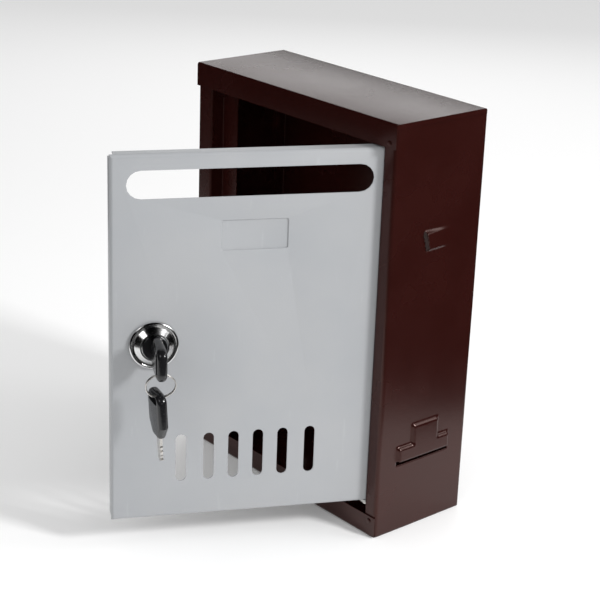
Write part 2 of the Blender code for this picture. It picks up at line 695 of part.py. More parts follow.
def build_lock(chrome, dark, steel, axis):
    bezel = [
        (BEZEL_R, -GAP),
        (BEZEL_R, -0.0014),
        (BEZEL_R - 0.0004, -0.0021),
        (BEZEL_R - 0.0013, -BEZEL_RIM),
        (BEZEL_R - 0.0023, -BEZEL_RIM + 0.0002),
        (HEAD_R + 0.0006, -BEZEL_CROWN),
        (HEAD_R + 0.0002, -BEZEL_CROWN + 0.0003),
        (HEAD_R + 0.0002, -GAP),
    ]
    add_object("lock_bezel", lathe(bezel, 40), chrome, axis, smooth_deg=40)

    head = [
        (0.0, -GAP),
        (HEAD_R - GAP, -GAP),
        (HEAD_R - GAP, -HEAD_FRONT + 0.0004),
        (HEAD_R - 0.0006, -HEAD_FRONT),
        (0.0, -HEAD_FRONT),
    ]
    body = add_object("lock_body", lathe(head, 40), chrome, axis, smooth_deg=40)
    barrel = prism(flatted(BARREL_R, BARREL_FLAT), "Y", -2 * GAP, BARREL_BACK)
    join(body, add_object("lock_barrel", barrel, None, axis))
    seat = PLUG_FRONT - PLUG_SEAT
    bore = [
        (0.0, -HEAD_FRONT - PAST),
        (PLUG_HEAD_R + PIN_CLEARANCE, -HEAD_FRONT - PAST),
        (PLUG_HEAD_R + PIN_CLEARANCE, -seat + GAP),
        (PLUG_R + PIN_CLEARANCE, -seat + GAP),
        (PLUG_R + PIN_CLEARANCE, BARREL_BACK + PAST),
        (0.0, BARREL_BACK + PAST),
    ]
    cut(body, add_object("lock_bore", lathe(bore, 40), None, axis))

    hexagon = arc((0.0, 0.0), NUT_ACROSS / math.sqrt(3), 0, 300, 5)
    nut_y = DOOR_SHEET + GAP
    nut = add_object("lock_nut", prism(hexagon, "Y", nut_y, nut_y + NUT_THICK), steel, axis)
    flats = flatted(BARREL_R + GAP, BARREL_FLAT + GAP)
    nut_hole = prism(flats, "Y", nut_y - PAST, nut_y + NUT_THICK + PAST)
    cut(nut, add_object("lock_nut_hole", nut_hole, None, axis))

    plug = [
        (0.0, -PLUG_FRONT),
        (PLUG_HEAD_R - 0.0003, -PLUG_FRONT),
        (PLUG_HEAD_R, -PLUG_FRONT + 0.0003),
        (PLUG_HEAD_R, -seat),
        (PLUG_R, -seat),
        (PLUG_R, PLUG_BACK),
        (0.0, PLUG_BACK),
    ]
    plug = add_object("lock_plug", lathe(plug, 40), dark, axis, smooth_deg=40)
    h = TANG / 2
    tang = box((-h, PLUG_BACK - PAST, -h), (h, CAM_BACK, h))
    join(plug, add_object("plug_tang", tang, None, axis))
    w, k = KEYWAY_WIDTH / 2, KEYWAY_HEIGHT / 2
    keyway = box((-w, -PLUG_FRONT - PAST, -k), (w, KEYWAY_DEPTH - PLUG_FRONT, k))
    cut(plug, add_object("keyway", keyway, None, axis))
    screw_hole = disc(SCREW_R + GAP, CAM_BACK - SCREW_DEPTH, CAM_BACK + PAST, "Y", steps=16)
    cut(plug, add_object("cam_screw_hole", screw_hole, None, axis))

    cam_y = (CAM_BACK - CAM_PLATE, CAM_BACK)
    r = CAM_WIDTH / 2
    reach = CAM_REACH - r
    outline = arc((0.0, 0.0), r, 0, 180, 10) + arc((0.0, -reach), r, 180, 360, 8)
    cam = add_object("lock_cam", prism(outline, "Y", *cam_y), steel, axis)
    h += GAP
    hole = box((-h, cam_y[0] - PAST, -h), (h, cam_y[1] + PAST, h))
    cut(cam, add_object("cam_hole", hole, None, axis))

    washer = [
        (SCREW_R + GAP, CAM_BACK + GAP),
        (WASHER_R, CAM_BACK + GAP),
        (WASHER_R, CAM_BACK + GAP + WASHER_THICK),
        (SCREW_R + GAP, CAM_BACK + GAP + WASHER_THICK),
    ]
    add_object("cam_washer", lathe(washer, 24), steel, axis, smooth_deg=40)
    under = CAM_BACK + 2 * GAP + WASHER_THICK
    screw = [
        (0.0, CAM_BACK - SCREW_DEPTH + GAP),
        (SCREW_R, CAM_BACK - SCREW_DEPTH + GAP),
        (SCREW_R, under),
        (SCREW_HEAD_R, under),
        (SCREW_HEAD_R, under + 0.6 * SCREW_HEAD),
        (0.7 * SCREW_HEAD_R, under + SCREW_HEAD),
        (0.0, under + SCREW_HEAD),
    ]
    add_object("cam_screw", lathe(screw, 20), steel, axis, smooth_deg=40)


# Keys, in their own frame: the origin is at the bow's shoulder, -Y runs out along the bow --------


def build_key(prefix, plastic, steel, axis):
    half = BOW_WIDTH / 2
    neck = BOW_NECK / 2
    end = BOW_LENGTH
    r = BOW_CORNER
    rim = (
        [(0.0, -neck), (0.0, neck), (BOW_TAPER, half)]
        + arc((end - r, half - r), r, 90, 0, 6)
        + arc((end - r, r - half), r, 0, -90, 6)
        + [(BOW_TAPER, -half)]
    )
    outline = [(-s, t) for s, t in rim]
    thick = BOW_THICK / 2
    body = prism(outline, "X", -thick, thick)
    edges = [e for e in body.edges if abs(e.verts[0].co.x - e.verts[1].co.x) < 1e-7]
    bmesh.ops.bevel(
        body,
        geom=edges,
        offset=BOW_EDGE,
        offset_type="OFFSET",
        segments=2,
        profile=0.5,
        affect="EDGES",
        clamp_overlap=True,
        material=-1,
    )
    bow = add_object(f"{prefix}_bow", body, plastic, axis, smooth_deg=40)
    hole = turned(stadium(HOLE_LENGTH, HOLE_WIDTH, 6))
    hole = moved(hole, -(BOW_LENGTH - HOLE_FROM_END), 0.0)
    cut(bow, add_object(f"{prefix}_hole", prism(hole, "X", -thick - PAST, thick + PAST), None, axis))
    g = GAP
    pocket = box(
        (-BLADE_THICK / 2 - g, -BLADE_ROOT - g, -BLADE_HEIGHT / 2 - g),
        (BLADE_THICK / 2 + g, PAST, BLADE_HEIGHT / 2 + g),
    )
    cut(bow, add_object(f"{prefix}_pocket", pocket, None, axis))
    low, high = -BLADE_HEIGHT / 2, BLADE_HEIGHT / 2
    tip = BLADE_LENGTH
    blade = [(-BLADE_ROOT, low)]
    for start, deep in KEY_CUTS:
        stop = start + KEY_CUT_FLAT
        blade.append((start - KEY_CUT_SLOPE, low))
        blade += [(start, low + deep), (stop, low + deep)]
        blade.append((stop + KEY_CUT_SLOPE, low))
    blade += [(tip - BLADE_CHAMFER, low), (tip, low + BLADE_NOSE), (tip - BLADE_CHAMFER, high)]
    blade.append((-BLADE_ROOT, high))
    add_object(f"{prefix}_blade", prism(blade, "X", -BLADE_THICK / 2, BLADE_THICK / 2), steel, axis)


def build_ring(steel, axis):
    """The key ring round its own middle, in the plane across Y."""
    section = [(RING_R + p, 1.4 * q) for p, q in arc((0.0, 0.0), WIRE_R, 0, 315, 7)]
    add_object("key_ring", lathe(section, 36), steel, axis, smooth_deg=60)


def main():
    clear_scene()
    paint = material("maroon_powder_coat", (0.055, 0.012, 0.011), 0.42)
    enamel = material("light_grey_enamel", (0.50, 0.515, 0.53), 0.38)
    zinc = material("zinc_plate", (0.62, 0.62, 0.60), 0.35, 1.0)
    steel = material("bright_steel", (0.66, 0.65, 0.63), 0.28, 1.0)
    chrome = material("chrome_plate", (0.78, 0.78, 0.78), 0.10, 1.0)
    dark = material("dark_plug", (0.05, 0.05, 0.055), 0.28, 1.0)
    plastic = material("black_plastic", (0.012, 0.012, 0.013), 0.22)

    build_left_side(paint)
    build_right_side(paint)
    build_back(paint)
    build_cap(paint)
    build_tray(paint)
    build_hinge(zinc, steel)

    turn = math.radians(DOOR_OPEN_DEG)
    hinge = add_axis("door_axis", (HINGE_X, HINGE_Y, 0.0), None, (0.0, 0.0, turn))
    build_door(enamel, hinge)
    lock_x = DOOR_LEFT + LOCK_INSET - HINGE_X
    lock = add_axis("lock_axis", (lock_x, -HINGE_SETBACK, LOCK_ABOVE_MIDDLE), hinge)
    build_lock(chrome, dark, steel, lock)
    shoulder = add_axis("lock_key_axis", (0.0, -PLUG_FRONT - KEY_STANDOFF, 0.0), lock)
    build_key("lock_key", plastic, steel, shoulder)

    hole_y = -(BOW_LENGTH - HOLE_FROM_END)
    hole_end = HOLE_LENGTH / 2 - 2 * WIRE_R
    tilt = math.radians(RING_TILT_DEG)
    pivot = add_axis("ring_axis", (0.0, hole_y, -hole_end), shoulder, (tilt, 0.0, 0.0))
    middle = add_axis("ring_middle", (0.0, 0.0, -RING_R), pivot)
    build_ring(steel, middle)
    round_ring = math.radians(SPARE_ROUND_RING_DEG)
    hung = (-RING_R * math.sin(round_ring), 0.0, -RING_R * math.cos(round_ring))
    spare_pivot = add_axis("spare_key_axis", hung, middle, (-tilt, 0.0, math.radians(SPARE_YAW_DEG)))
    down = add_axis("spare_key_shoulder", (0.0, 0.0, hole_y), spare_pivot, (-math.pi / 2, 0.0, 0.0))
    build_key("spare_key", plastic, steel, down)


main()
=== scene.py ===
"""The looks of a wall letterbox: powder-coated sheet steel, a chromed cam lock, two keys on a ring."""

import json
import math

import bmesh
import bpy
from mathutils import Matrix, Vector, noise


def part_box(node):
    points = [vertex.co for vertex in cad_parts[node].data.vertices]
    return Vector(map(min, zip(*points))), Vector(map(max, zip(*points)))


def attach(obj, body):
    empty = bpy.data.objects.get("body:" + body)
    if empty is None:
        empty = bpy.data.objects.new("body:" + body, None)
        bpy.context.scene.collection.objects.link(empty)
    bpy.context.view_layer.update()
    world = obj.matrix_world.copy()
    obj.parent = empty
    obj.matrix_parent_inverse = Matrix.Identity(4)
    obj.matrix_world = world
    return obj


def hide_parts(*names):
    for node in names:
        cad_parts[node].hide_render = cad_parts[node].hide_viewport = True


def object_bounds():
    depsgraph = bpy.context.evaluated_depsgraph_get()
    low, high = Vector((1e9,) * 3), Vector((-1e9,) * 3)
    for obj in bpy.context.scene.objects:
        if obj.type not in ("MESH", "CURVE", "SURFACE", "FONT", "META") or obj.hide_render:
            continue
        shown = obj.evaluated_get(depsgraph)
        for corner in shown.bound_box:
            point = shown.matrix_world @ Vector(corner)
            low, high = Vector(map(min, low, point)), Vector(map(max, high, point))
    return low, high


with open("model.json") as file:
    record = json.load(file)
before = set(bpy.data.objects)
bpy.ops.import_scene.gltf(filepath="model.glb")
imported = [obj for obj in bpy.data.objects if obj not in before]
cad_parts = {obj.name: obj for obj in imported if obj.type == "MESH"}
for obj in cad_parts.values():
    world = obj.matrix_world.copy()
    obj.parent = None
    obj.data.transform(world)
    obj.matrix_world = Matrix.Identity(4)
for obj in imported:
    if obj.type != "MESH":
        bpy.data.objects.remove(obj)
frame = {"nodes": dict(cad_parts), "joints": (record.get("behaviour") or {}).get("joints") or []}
cad_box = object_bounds()

MM = 0.001
MERGE = 0.001 * MM  # corners closer than this are one
FLAT_DEG = 0.5  # faces that turn less than this are one

# Camera, round a point on the housing's front
AIM = Vector((0.0170, -0.0835, 0.0023))
CAMERA_AZIMUTH_DEG = 49.12
CAMERA_ELEVATION_DEG = 20.73
CAMERA_ROLL_DEG = 2.12
CAMERA_DISTANCE = 1.1677
LENS = 98.68
SENSOR = 36.0

# Folded sheets
SHEET = 0.7 * MM
BEND = 2.2 * MM
SHEET_EDGE = 0.15 * MM
TURNED_EDGE = 0.25 * MM
EDGE_STEPS = 2
EDGE_ANGLE_DEG = 28
PRESSED_ANGLE_DEG = 60  # pressings stay smooth up to here

# The right wall's pressings: along Y from the jamb's face, and up from the bottom
CELL = 1.0 * MM
PRESS_SLOPE = 1.7 * MM
TONGUE_Y = (30.0 * MM, 58.0 * MM)
TONGUE_Z = (207.2 * MM, 222.2 * MM)
TONGUE_RISE = 3.3 * MM
TONGUE_LEAN = 4.0 * MM
SLIT = 2.9 * MM
POCKET_Y = (16.8 * MM, 66.8 * MM)
POCKET_Z = (54.2 * MM, 65.7 * MM)
CROWN_Y = (30.3 * MM, 55.8 * MM)
CROWN_Z = (54.2 * MM, 80.2 * MM)
POCKET_RISE = 3.0 * MM
CROWN_TOP_SHARE = 0.62  # of the pocket's rise that is left at its upper edge
DENTS = (
    # along, up, radius, depth
    (10.0 * MM, 281.0 * MM, 5.0 * MM, 0.45 * MM),
    (34.0 * MM, 271.0 * MM, 7.0 * MM, 0.40 * MM),
    (46.0 * MM, 263.0 * MM, 4.0 * MM, 0.30 * MM),
    (6.0 * MM, 246.0 * MM, 3.5 * MM, 0.30 * MM),
)
WAVE_SCALE = 14.0
WAVE_DEPTH = 0.30 * MM

# Door
DOOR_OPEN_DEG = 63.0
LABEL_SLOPE = 0.75 * MM
LABEL_DROP = (44.0 * MM, 68.0 * MM)  # the band below the door's top that holds the label's edges
LABEL_STEPS = 4
LABEL_MARGIN = 0.25  # share of the door's width at each side that the label keeps off

# Textures: scales in cycles to the metre, depths, and where each noise turns into a mask
CLOUD_SCALE = 18.0
CLOUD_MASK = (0.35, 0.68)
RUB_SCALE = 240.0
RUB_STRETCH = (1.0, 1.0, 0.12)
RUB_MASK = (0.66, 0.74)
RUB_SHARE = 0.2
RUB_LIGHTER = 1.25
SPECK_SCALE = 900.0
SPECK_MASK = (0.74, 0.80)
SPECK_SHARE = 0.6
PEEL_SCALE = 700.0
PEEL_DEPTH = 0.03 * MM
GRAIN_FINER = 4
GRAIN_SHARE = 0.35
CLOUD_ROUGHER = 0.03
RUB_SMOOTHER = 0.01
LINE_SCALE = 2500.0
BLOOM_FINER = 3
BLOOM_MASK = (0.4, 0.7)
BLOOM_DARKER = 0.8
BLOOM_ROUGHER = 0.14
LINES_ROUGHER = 0.10
MOULD_SCALE = 900.0
MOULD_DEPTH = 0.01 * MM
SCRATCH_STRETCH = (1.0, 0.08, 0.3)
SCRATCH_MASK = (0.64, 0.70)
SCRATCH_SHARE = 0.5
SCRATCH_TONE = (0.10, 0.10, 0.10)
FLOW_ROUGHER = 0.12
SCRATCH_ROUGHER = 0.25

# Noise detail, in octaves
PLAIN = 1.0
FINE = 2.0
FINER = 3.0
FINEST = 4.0

# Finishes: base colours, roughness and gloss
MAROON_DARK = (0.0182, 0.0027, 0.0020)
MAROON_LIGHT = (0.0214, 0.0034, 0.0026)
MAROON_ROUGHNESS = 0.25
MAROON_SHEEN = (1.0, 0.72, 0.66)
GREY_DARK = (0.325, 0.335, 0.349)
GREY_LIGHT = (0.340, 0.347, 0.358)
GREY_ROUGHNESS = 0.36
GREY_SHEEN = (1.0, 1.0, 1.0)
PAINT_SPECULAR = 0.45
DRAWN_UPRIGHT = (1.0, 1.0, 0.1)
NOT_DRAWN = (1.0, 1.0, 1.0)
PLATES = (
    # name, colour, roughness, way of its lines, their depth
    ("zinc_plate", (0.60, 0.60, 0.58), 0.30, DRAWN_UPRIGHT, 0.010 * MM),
    ("nickel_plate", (0.72, 0.70, 0.67), 0.24, DRAWN_UPRIGHT, 0.010 * MM),
    ("chrome_plate", (0.78, 0.78, 0.78), 0.07, NOT_DRAWN, 0.002 * MM),
    # the plug's face is given a near-black metal colour, much darker than the chrome round it
    ("near_black_metal_plug", (0.06, 0.06, 0.065), 0.18, NOT_DRAWN, 0.004 * MM),
)
MOULDING_TONE = (0.008, 0.008, 0.009)
MOULDING_ROUGHNESS = 0.12

# Studio
TABLE_MIDDLE = (-0.19, -0.15)
TABLE_R = 0.49
FLOOR_R = 7.0
FLOOR_STEPS = 64
FLOOR_TONES = ((0.938, 0.938, 0.938), (0.942, 0.942, 0.942))
FLOOR_SCALE = 3.0
FLOOR_SPECULAR = 0.1
WORLD_STRENGTH = 0.78
SOFTBOXES = (
    # name, place, aim, size, power
    ("key_softbox", (1.45, 0.36, 0.80), (0.05, -0.15, 0.0), (0.28, 0.28), 21.0),
    ("front_softbox", (0.6, -1.9, 1.1), (0.0, -0.1, 0.0), (1.0, 0.7), 4.6),
    ("lid_softbox", (-1.1, 1.05, 0.62), (0.0, -0.04, 0.15), (1.0, 0.5), 2.6),
    ("rim_softbox", (0.95, 0.98, 0.80), (0.10, -0.04, 0.0), (0.5, 0.5), 3.0),
)

# Lock bezel, from the middle of the door's hole: radii, and heights above the door
ROUND_STEPS = 96
BEZEL_R = 16.6 * MM
BEZEL_LIFT = 0.3 * MM
RIM_R = 1.25 * MM  # of the rounded rim's section
RIM_HEIGHT = 2.6 * MM
RIM_TURN_DEG = 135
RIM_STEP_DEG = 15
GROOVE_R = 13.2 * MM
GROOVE_HEIGHT = 2.1 * MM
CONE_TOP_R = 9.7 * MM
CONE_TOP_HEIGHT = 5.0 * MM
BORE_R = 9.2 * MM
CONE_EASE = 0.2 * MM
BORE_EASE = 0.1 * MM
BORE_DROP = 0.4 * MM

# Keys and the split ring
KEY_FROM_DOOR = 8.0 * MM  # from the door to the bow's shoulder
BOW_LENGTH = 32.5 * MM
BOW_WIDTH = 23.0 * MM
BOW_THICK = 6.8 * MM
BOW_NECK = 10.0 * MM
BOW_TAPER = 9.0 * MM
BOW_CORNER = 6.6 * MM
BOW_EDGE = 3.0 * MM
BOW_STEPS = 6
HOLE_LENGTH = 16.0 * MM
HOLE_WIDTH = 5.4 * MM
HOLE_FROM_END = 5.2 * MM
HOLE_EDGE = 0.5 * MM
HOLE_STEPS = 32
BOW_ANGLE_DEG = 40
BLADE_POCKET = (2.5 * MM, 12.3 * MM, 6.4 * MM)  # thickness, depth, height
QUARTER = [math.radians(step) for step in range(0, 91, 10)]  # of the bow's round corner
RING_TILT_DEG = 18.0
SPARE_YAW_DEG = 11.0
RING_R = 9.7 * MM
RING_WIRE_R = 0.45 * MM
RING_TURNS = 1.85
RING_START_DEG = -63.0  # the wire ends on either side of the top, where the lock's key hangs it
RING_STEPS = 60
RING_WIRE_STEPS = 12
RING_ANGLE_DEG = 50
RING_LAY = 0.45 * MM  # half the pitch between the two turns

# Sockets of the Mix node when it mixes colours
MIX_FACTOR = 0
MIX_FIRST = 6
MIX_SECOND = 7
MIX_COLOUR = 2


# Shader maths ----------------------------------------------------------------------------------


class Wire:
    """A node's output that takes part in sums, so that 1 - mask adds its own Math node."""

    def __init__(self, tree, output):
        self.tree = tree
        self.output = output

    def node(self, kind, inputs=None, output=0, **settings):
        """Adds any node: its settings first, then the values or wires of its inputs."""
        made = self.tree.nodes.new(kind)
        for key, value in settings.items():
            setattr(made, key, value)
        for key, value in (inputs or {}).items():
            if isinstance(value, Wire):
                self.tree.links.new(value.output, made.inputs[key])
            else:
                made.inputs[key].default_value = value
        return Wire(self.tree, made.outputs[output])

    def math(self, operation, *values):
        return self.node("ShaderNodeMath", dict(enumerate(values)), operation=operation)

    def __add__(self, other):
        return self.math("ADD", self, other)

    def __radd__(self, other):
        return self.math("ADD", other, self)

    def __sub__(self, other):
        return self.math("SUBTRACT", self, other)

    def __rsub__(self, other):
        return self.math("SUBTRACT", other, self)

    def __mul__(self, other):
        return self.math("MULTIPLY", self, other)

    def __rmul__(self, other):
        return self.math("MULTIPLY", other, self)

    def between(self, low, high):
        """0 below low, 1 above high, with a soft step between them."""
        return self.node(
            "ShaderNodeMapRange",
            {"Value": self, "From Min": low, "From Max": high},
            interpolation_type="SMOOTHSTEP",
        )


class Finish:
    """A material on the piece's own coordinates, in metres."""

    def __init__(self, name, **uniform):
        self.material = bpy.data.materials.new(name)
        self.material.use_nodes = True
        tree = self.material.node_tree
        tree.nodes.clear()
        self.start = Wire(tree, None)
        self.shader = tree.nodes.new("ShaderNodeBsdfPrincipled")
        out = tree.nodes.new("ShaderNodeOutputMaterial")
        tree.links.new(self.shader.outputs[0], out.inputs[0])
        for key, value in uniform.items():
            self.shader.inputs[key.replace("_", " ")].default_value = value
        self.place = self.start.node("ShaderNodeTexCoord", output="Object")

    def noise(self, scale, detail=FINE, stretch=None):
        where = self.place
        if stretch:
            where = self.start.node("ShaderNodeMapping", {"Vector": where, "Scale": stretch})
        return self.start.node("ShaderNodeTexNoise", {"Vector": where, "Scale": scale, "Detail": detail})

    def mix(self, amount, first, second):
        """Mixes two colours, each a wire or three numbers."""
        first, second = (c if isinstance(c, Wire) else (*c, 1.0) for c in (first, second))
        return self.start.node(
            "ShaderNodeMix",
            {MIX_FACTOR: amount, MIX_FIRST: first, MIX_SECOND: second},
            output=MIX_COLOUR,
            data_type="RGBA",
        )

    def bump(self, height, depth):
        return self.start.node("ShaderNodeBump", {"Height": height, "Distance": depth, "Strength": 1.0})

    def wire(self, **sockets):
        """Leads each named socket of the shader from its wire."""
        for key, value in sockets.items():
            self.start.tree.links.new(value.output, self.shader.inputs[key.replace("_", " ")])
        return self.material


def tinted(colour, share):
    return [share * channel for channel in colour]


def powder_coat(name, dark, light, roughness, sheen):
    """Baked powder paint: an orange-peel surface, cloudy in tone, with specks and a few fine rubs."""
    finish = Finish(name, Metallic=0.0, Specular_IOR_Level=PAINT_SPECULAR, Specular_Tint=(*sheen, 1.0))
    cloud = finish.noise(CLOUD_SCALE, FINER).between(*CLOUD_MASK)
    rub = finish.noise(RUB_SCALE, FINEST, stretch=RUB_STRETCH).between(*RUB_MASK)
    speck = finish.noise(SPECK_SCALE, PLAIN).between(*SPECK_MASK)
    colour = finish.mix(RUB_SHARE * rub, finish.mix(cloud, dark, light), tinted(light, RUB_LIGHTER))
    peel = finish.noise(PEEL_SCALE)
    grain = finish.noise(GRAIN_FINER * PEEL_SCALE, PLAIN)
    return finish.wire(
        Base_Color=colour,
        Roughness=roughness + CLOUD_ROUGHER * cloud - RUB_SMOOTHER * rub,
        Normal=finish.bump(peel + GRAIN_SHARE * grain - SPECK_SHARE * speck, PEEL_DEPTH),
    )


def plated_steel(name, colour, roughness, line_way, line_depth):
    """Bright plate over drawn or rolled steel, with lines one way and a cloudy bloom."""
    finish = Finish(name, Metallic=1.0)
    bloom = finish.noise(CLOUD_SCALE * BLOOM_FINER, FINER).between(*BLOOM_MASK)
    lines = finish.noise(LINE_SCALE, FINER, stretch=line_way)
    return finish.wire(
        Base_Color=finish.mix(bloom, colour, tinted(colour, BLOOM_DARKER)),
        Roughness=roughness + BLOOM_ROUGHER * bloom + LINES_ROUGHER * lines,
        Normal=finish.bump(lines, line_depth),
    )


def moulded_plastic(name, colour, roughness):
    """Glossy moulding with a faint flow texture and pocket scratches."""
    finish = Finish(name, Metallic=0.0)
    flow = finish.noise(MOULD_SCALE)
    scratch = finish.noise(LINE_SCALE, FINEST, stretch=SCRATCH_STRETCH).between(*SCRATCH_MASK)
    return finish.wire(
        Base_Color=finish.mix(SCRATCH_SHARE * scratch, colour, SCRATCH_TONE),
        Roughness=roughness + FLOW_ROUGHER * flow + SCRATCH_ROUGHER * scratch,
        Normal=finish.bump(flow - SCRATCH_SHARE * scratch, MOULD_DEPTH),
    )


def pale_floor():
    finish = Finish("studio_floor", Metallic=0.0, Specular_IOR_Level=FLOOR_SPECULAR)
    return finish.wire(Base_Color=finish.mix(finish.noise(FLOOR_SCALE), *FLOOR_TONES))


# Pieces ----------------------------------------------------------------------------------------


def add_piece(name, bm, body, material, node, smooth_deg=EDGE_ANGLE_DEG):
    """Makes a mesh into a piece that rides on a body and stands for a node."""
    mesh = bpy.data.meshes.new(name)
    bm.to_mesh(mesh)
    bm.free()
    mesh.shade_smooth()
    mesh.set_sharp_from_angle(angle=math.radians(smooth_deg))
    piece = bpy.data.objects.new(name, mesh)
    bpy.context.scene.collection.objects.link(piece)
    mesh.materials.append(material)
    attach(piece, body)
    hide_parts(node)
    return piece


def eased_sheet(name, node, body, material, edge):
    """A folded or stamped piece with its cut edges eased, as paint and tumbling leave them."""
    bm = bmesh.new()
    bm.from_mesh(frame["nodes"][node].data)
    bmesh.ops.remove_doubles(bm, verts=bm.verts, dist=MERGE)
    flat = math.radians(FLAT_DEG)
    bmesh.ops.dissolve_limit(bm, angle_limit=flat, verts=bm.verts, edges=bm.edges)
    if node == "door_panel":
        soften_label(bm)
    piece = add_piece(name, bm, body, material, node)
    ease_edges(piece, edge)
    return piece


def ease_edges(piece, edge):
    """Rounds every sharp edge a little, so that it catches the light."""
    bevel = piece.modifiers.new("eased_edges", "BEVEL")
    bevel.width = edge
    bevel.segments = EDGE_STEPS
    bevel.limit_method = "ANGLE"
    bevel.angle_limit = math.radians(EDGE_ANGLE_DEG)
    bevel.harden_normals = True


def soften_label(bm):
    """Rounds both edges of the label's pressed step, which the press leaves soft."""
    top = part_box("door_panel")[1].z
    low, high = top - LABEL_DROP[1], top - LABEL_DROP[0]
    step = [
        edge
        for edge in bm.edges
        if all(low < vert.co.z < high for vert in edge.verts)
        and len(edge.link_faces) == 2
        and edge.calc_face_angle() > math.radians(EDGE_ANGLE_DEG)
        and inside_label(edge)
    ]
    bmesh.ops.bevel(
        bm,
        geom=step,
        offset=LABEL_SLOPE,
        offset_type="OFFSET",
        segments=LABEL_STEPS,
        profile=0.5,
        affect="EDGES",
        clamp_overlap=True,
        material=-1,
    )


def inside_label(edge):
    """True away from the door's side bends, which cross the same band."""
    low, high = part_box("door_panel")
    margin = LABEL_MARGIN * (high.y - low.y)
    return all(low.y + margin < vert.co.y < high.y - margin for vert in edge.verts)


def press_in(distance):
    """0 on an outline and outside it, 1 a slope's width inside."""
    share = max(0.0, min(1.0, -distance / PRESS_SLOPE))
    return share * share * (3.0 - 2.0 * share)


def outside_box(point, span_a, span_b):
    """Signed distance from an upright rectangle."""
    over = [abs(p - (lo + hi) / 2) - (hi - lo) / 2 for p, (lo, hi) in zip(point, (span_a, span_b))]
    return math.hypot(max(over[0], 0.0), max(over[1], 0.0)) + min(max(over), 0.0)


def tongue_front(up):
    """The tongue's cut front leans back towards its foot."""
    share = (TONGUE_Z[1] - up) / (TONGUE_Z[1] - TONGUE_Z[0])
    return TONGUE_Y[0] + TONGUE_LEAN * share


def wall_rise(along, up):
    """How far the right wall stands out at a place, for its two pressings, dents and slow waves."""
    rise = WAVE_DEPTH * noise.noise(Vector((along, up, 0.0)) * WAVE_SCALE)
    for dent_along, dent_up, radius, depth in DENTS:
        away = math.hypot(along - dent_along, up - dent_up) / radius
        rise -= depth * math.exp(-away * away)
    if along >= tongue_front(up):
        front = (TONGUE_Y[0] - PRESS_SLOPE, TONGUE_Y[1])
        fade = (TONGUE_Y[1] - along) / (TONGUE_Y[1] - TONGUE_Y[0])
        rise += TONGUE_RISE * max(0.0, fade) * press_in(outside_box((along, up), front, TONGUE_Z))
    if up >= POCKET_Z[0]:
        lean = 1.0 - (1.0 - CROWN_TOP_SHARE) * (up - CROWN_Z[0]) / (CROWN_Z[1] - CROWN_Z[0])
        step = (POCKET_Z[0] - PRESS_SLOPE, POCKET_Z[1])
        crown = (CROWN_Z[0] - PRESS_SLOPE, CROWN_Z[1])
        outline = min(
            outside_box((along, up), POCKET_Y, step),
            outside_box((along, up), CROWN_Y, crown),
        )
        rise += POCKET_RISE * max(0.0, lean) * press_in(outline)
    return rise


def build_right_side(paint):
    """The right wall and its jamb as one folded sheet, with its pressings open at one edge each."""
    low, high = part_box("right_side")
    wall_x = -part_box("left_side")[0].x
    jamb = wall_x - low.x - BEND
    quarter = BEND * math.pi / 2
    wall = high.y - low.y - BEND
    columns = round((jamb + quarter + wall) / CELL)
    rows = round((high.z - low.z) / CELL)
    bm = bmesh.new()
    half = 0.5  # of the unit grid that is laid along the fold
    bmesh.ops.create_grid(bm, x_segments=columns, y_segments=rows, size=half)
    for vert in bm.verts:
        run = (vert.co.x + half) * (jamb + quarter + wall)
        up = (vert.co.y + half) * (high.z - low.z)
        if run < jamb:
            x, y = low.x + run, low.y
        elif run < jamb + quarter:
            angle = (run - jamb) / BEND
            x = low.x + jamb + BEND * math.sin(angle)
            y = low.y + BEND * (1.0 - math.cos(angle))
        else:
            y = low.y + BEND + run - jamb - quarter
            x = wall_x + wall_rise(y - low.y, up)
        vert.co = (x, y, low.z + up)
    open_mouths(bm, low)
    clear_jamb_foot(bm, wall_x, low)
    bmesh.ops.recalc_face_normals(bm, faces=bm.faces)
    outward = sum((face.normal.x for face in bm.faces), 0.0)
    if outward < 0.0:
        bmesh.ops.reverse_faces(bm, faces=bm.faces)
    side = add_piece(
        "right_side_painted", bm, "housing", paint, "right_side", PRESSED_ANGLE_DEG
    )
    solid = side.modifiers.new("sheet", "SOLIDIFY")
    solid.thickness = SHEET
    solid.offset = -1.0
    solid.use_rim = True
    solid.use_quality_normals = True


def open_mouths(bm, low):
    """Takes out the steep faces at the tongue's front and under the pocket, so that both are open."""
    steep = []
    for face in bm.faces:
        middle = face.calc_center_median() - low
        in_slit = POCKET_Y[0] < middle.y < POCKET_Y[1] and -SLIT < middle.z - POCKET_Z[0] < CELL
        if in_slit and middle.x > BEND:
            steep.append(face)
            continue
        lift = max(v.co.x for v in face.verts) - min(v.co.x for v in face.verts)
        if middle.x < BEND or lift < SHEET or not TONGUE_Z[0] < middle.z < TONGUE_Z[1]:
            continue
        if abs(middle.y - tongue_front(middle.z)) < CELL:
            steep.append(face)
    bmesh.ops.delete(bm, geom=steep, context="FACES")


def clear_jamb_foot(bm, wall_x, low):
    """Ends the jamb above the floor sheet's bend."""
    foot = []
    for face in bm.faces:
        middle = face.calc_center_median()
        if middle.x < wall_x - SHEET and middle.z < low.z + BEND:
            foot.append(face)
    bmesh.ops.delete(bm, geom=foot, context="FACES")


def door_turn():
    return Matrix.Rotation(math.radians(DOOR_OPEN_DEG), 4, "Z")


def joint_place(name):
    return next(Vector(joint["pos_m"]) for joint in frame["joints"] if joint["name"] == name)


def lock_place():
    """The lock's own frame: its origin is on the door's face, and -Y points out."""
    return Matrix.Translation(joint_place("lock_turn")) @ door_turn()


